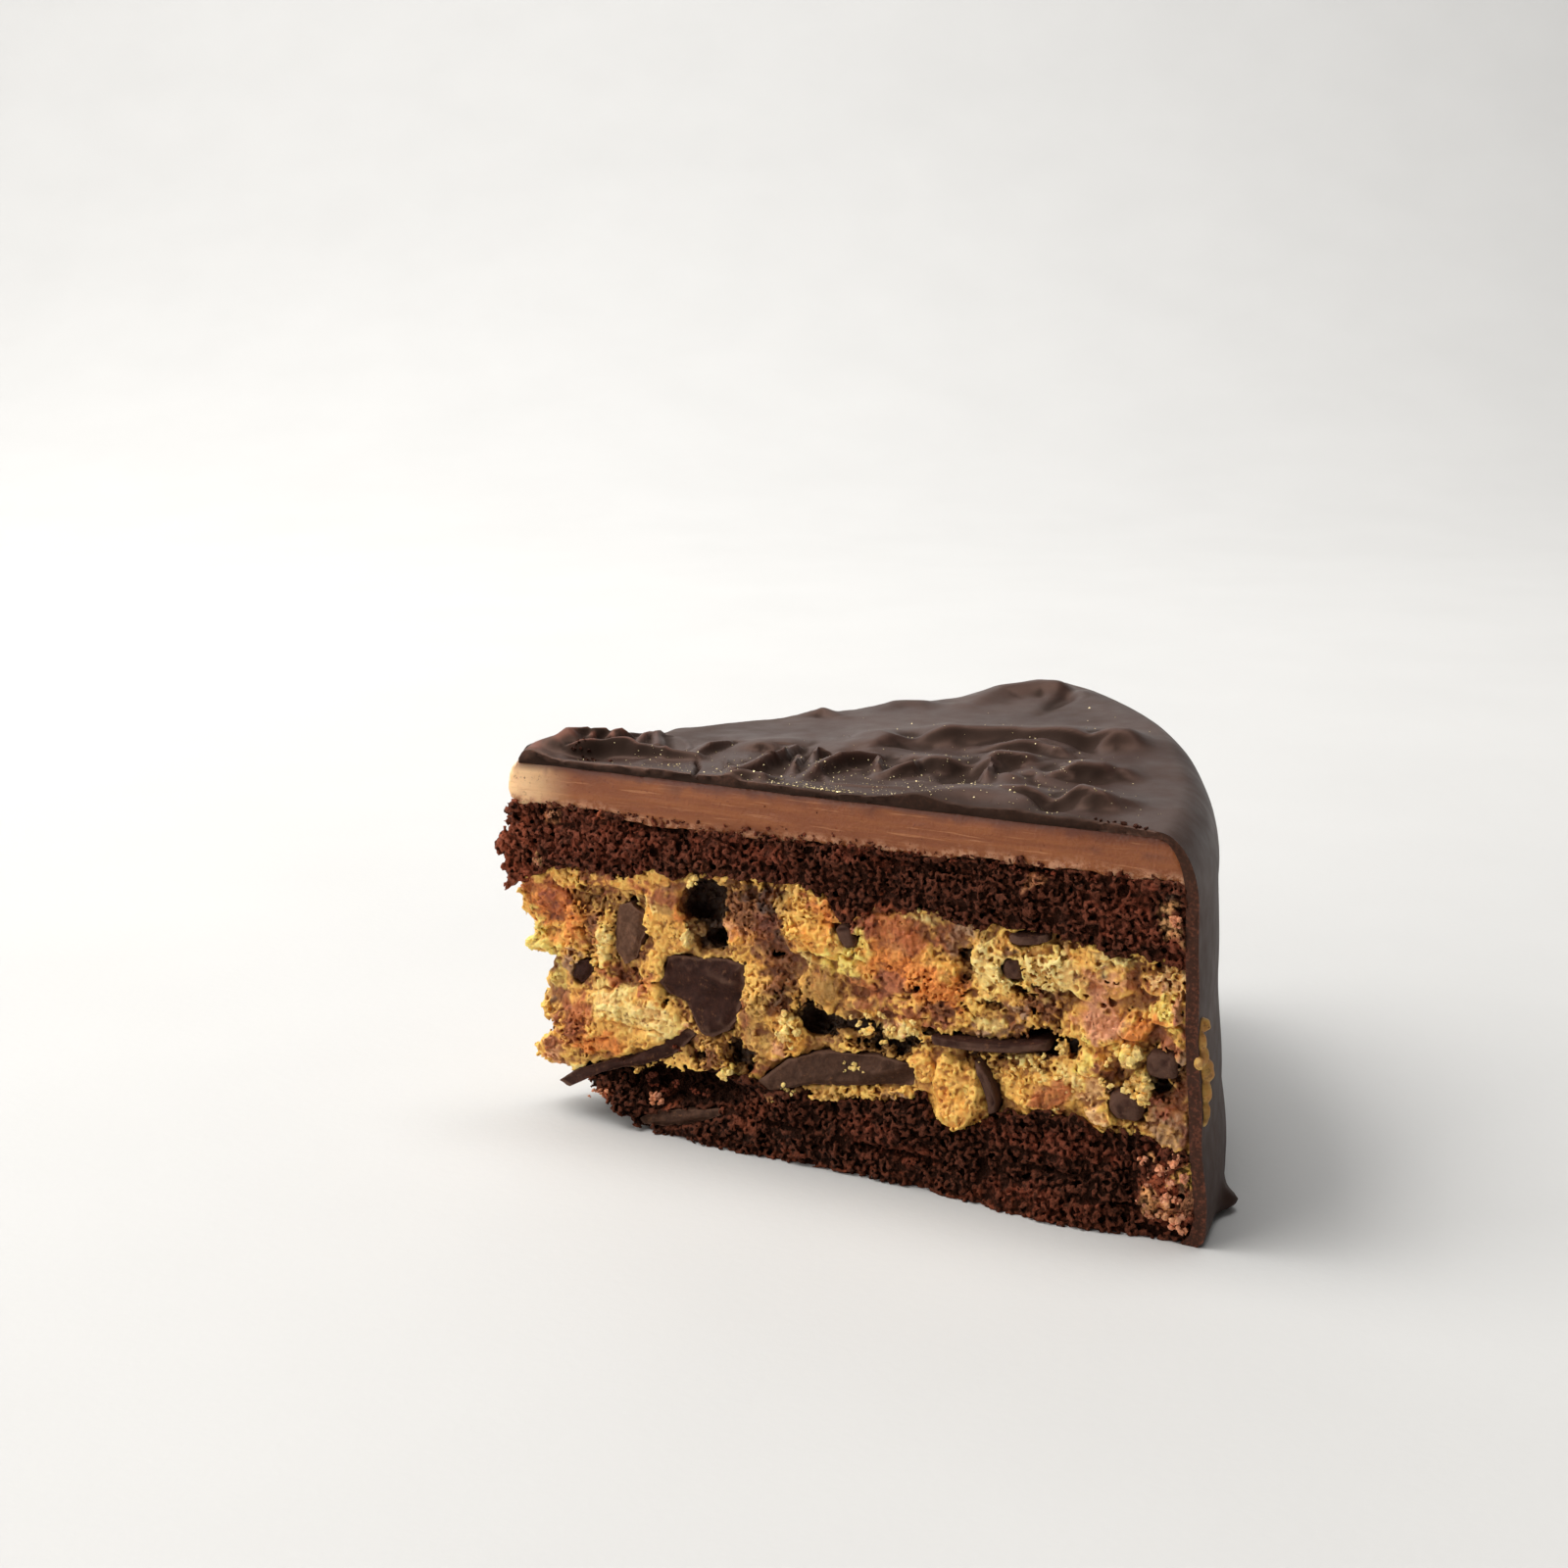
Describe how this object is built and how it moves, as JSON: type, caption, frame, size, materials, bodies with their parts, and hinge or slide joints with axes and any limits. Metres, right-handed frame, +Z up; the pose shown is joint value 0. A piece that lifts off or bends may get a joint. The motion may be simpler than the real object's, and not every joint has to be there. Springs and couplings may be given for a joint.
{
  "type": "layer cake slice",
  "caption": "Wedge of layered chocolate orange cake with sponge, orange crumb filling, cream and a dark chocolate coating.",
  "frame": {"origin": "on the resting surface, under the middle of the slice's box", "axes": "+Z up; +X from the tip of the wedge to the coated outer wall; the cut face shown in the picture faces -Y"},
  "size_m": [0.1082, 0.0972, 0.0597],
  "materials": {
    "dark_coating": "satin dark chocolate",
    "chocolate_cream": "smooth pale chocolate cream",
    "dark_sponge": "open crumb, matt",
    "orange_filling": "moist yellow crumb and orange curd",
    "chocolate_piece": "broken dark chocolate"
  },
  "bodies": {
    "root": {"base_sponge": "dark_sponge", "filling": "orange_filling", "upper_sponge": "dark_sponge", "cream": "chocolate_cream", "coating": "dark_coating", "chunk_round": "chocolate_piece", "chunk_small": "chocolate_piece", "chunk_large": "chocolate_piece", "shard_long": "chocolate_piece", "flake_low": "chocolate_piece", "slab_dark": "chocolate_piece", "sliver_upright": "chocolate_piece", "sliver_middle": "chocolate_piece", "chunk_right": "chocolate_piece", "chunk_edge": "chocolate_piece", "sliver_top": "chocolate_piece", "chip_round": "chocolate_piece", "chip_middle": "chocolate_piece", "far_chunk_large": "chocolate_piece", "far_chunk_round": "chocolate_piece", "far_slab": "chocolate_piece", "far_shard": "chocolate_piece", "far_chunk_small": "chocolate_piece", "far_chip_upper": "chocolate_piece", "far_chip_rim": "chocolate_piece", "far_chip_tip": "chocolate_piece"}
  },
  "joints": []
}
